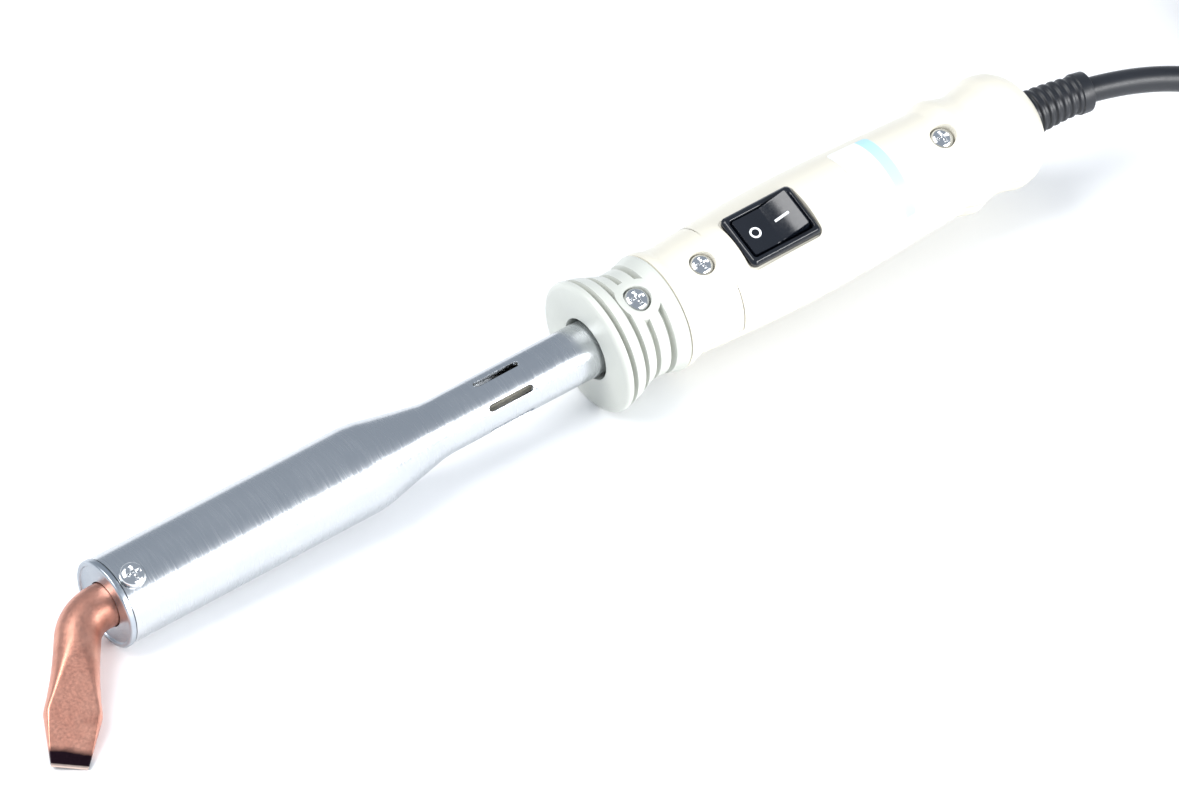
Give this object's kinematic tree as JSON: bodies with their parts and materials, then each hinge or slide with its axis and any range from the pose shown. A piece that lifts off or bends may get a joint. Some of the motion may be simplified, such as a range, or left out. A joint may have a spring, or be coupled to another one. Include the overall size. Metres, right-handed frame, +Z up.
{
  "type": "soldering iron",
  "caption": "Heavy soldering iron with a bent copper chisel bit, steel heater barrel, vented collar, two-shell handle with rocker switch, ribbed boot and mains cord with plug.",
  "frame": {"origin": "middle of the footprint of the iron without its cord, on the surface it lies on", "axes": "+Z up from that surface; +X along the iron from the bit towards the cord; the barrel's axis rises 2.4 degrees towards +X, because the iron rests on its nose rim, collar rim and one corner of the bit"},
  "size_m": [0.4667, 0.0835, 0.0568],
  "materials": {
    "copper": "satin copper, tinned at the edge",
    "steel": "satin drawn tube",
    "chrome": "polished",
    "brass": "plain",
    "ceramic": "unglazed ceramic",
    "mica": "layered sheet",
    "nichrome": "resistance wire",
    "collar_plastic": "satin heat-resistant plastic",
    "handle_plastic": "satin moulded plastic",
    "switch_plastic": "gloss moulded plastic",
    "plug_plastic": "satin moulded plastic",
    "cord_jacket": "satin cord jacket",
    "label_film": "printed film, blank",
    "wire_brown": "wire insulation",
    "wire_blue": "wire insulation",
    "wire_earth": "wire insulation",
    "glass_sleeve": "woven glass sleeve"
  },
  "bodies": {
    "iron": {"barrel_cap": "steel", "barrel_tube": "steel", "heater_former": "ceramic", "heater_winding": "nichrome", "mica_wrap": "mica", "rear_insulator": "ceramic", "heater_lead_live": "glass_sleeve", "heater_lead_neutral": "glass_sleeve", "neck_bush": "steel", "earth_tag": "brass", "vent_collar": "collar_plastic", "collar_screw": "chrome", "handle_upper": "handle_plastic", "handle_lower": "handle_plastic", "handle_screw_front": "chrome", "handle_screw_rear": "chrome", "switch_body": "switch_plastic", "switch_blade_common": "brass", "switch_blade_load": "brass", "terminal_block": "ceramic", "wire_earth_front": "wire_earth", "wire_live": "wire_brown", "wire_switched": "wire_brown", "wire_neutral": "wire_blue", "wire_earth": "wire_earth", "cord_clamp": "ceramic", "clamp_screw_left": "chrome", "clamp_screw_right": "chrome", "handle_label": "label_film", "cord_boot": "cord_jacket", "mains_cord": "cord_jacket", "cord_coil": "cord_jacket", "coil_tie": "plug_plastic", "cord_tail": "cord_jacket", "plug_body": "plug_plastic", "plug_pin_left": "chrome", "plug_pin_right": "chrome", "plug_earth_strip_left": "chrome", "plug_earth_strip_right": "chrome"},
    "bit": {"copper_bit": "copper"},
    "clamp_screw": {"bit_screw": "chrome"},
    "rocker": {"switch_rocker": "switch_plastic"},
    "lever": {"contact_lever": "brass"}
  },
  "joints": [
    {"name": "bit_slide", "type": "slide", "parent": "iron", "child": "bit", "axis": [-0.9991, 0, -0.0416], "range_m": [0, 0.04]},
    {"name": "bit_clamp_release", "type": "slide", "parent": "iron", "child": "clamp_screw", "axis": [-0.037, -0.4568, 0.8888], "range_m": [0, 0.003]},
    {"name": "rocker_pivot", "type": "hinge", "parent": "iron", "child": "rocker", "pos_m": [0.0646, 0.0041, 0.03187], "axis": [-0.0147, 0.9356, 0.3528], "range_deg": [0, 21]},
    {"name": "lever_pivot", "type": "hinge", "parent": "iron", "child": "lever", "pos_m": [0.06496, 0.00733, 0.02331], "axis": [-0.0147, 0.9356, 0.3528], "range_deg": [-10, 0]}
  ],
  "couplings": [
    {"joint": "lever_pivot", "follows": "rocker_pivot", "ratio": -0.47619}
  ]
}
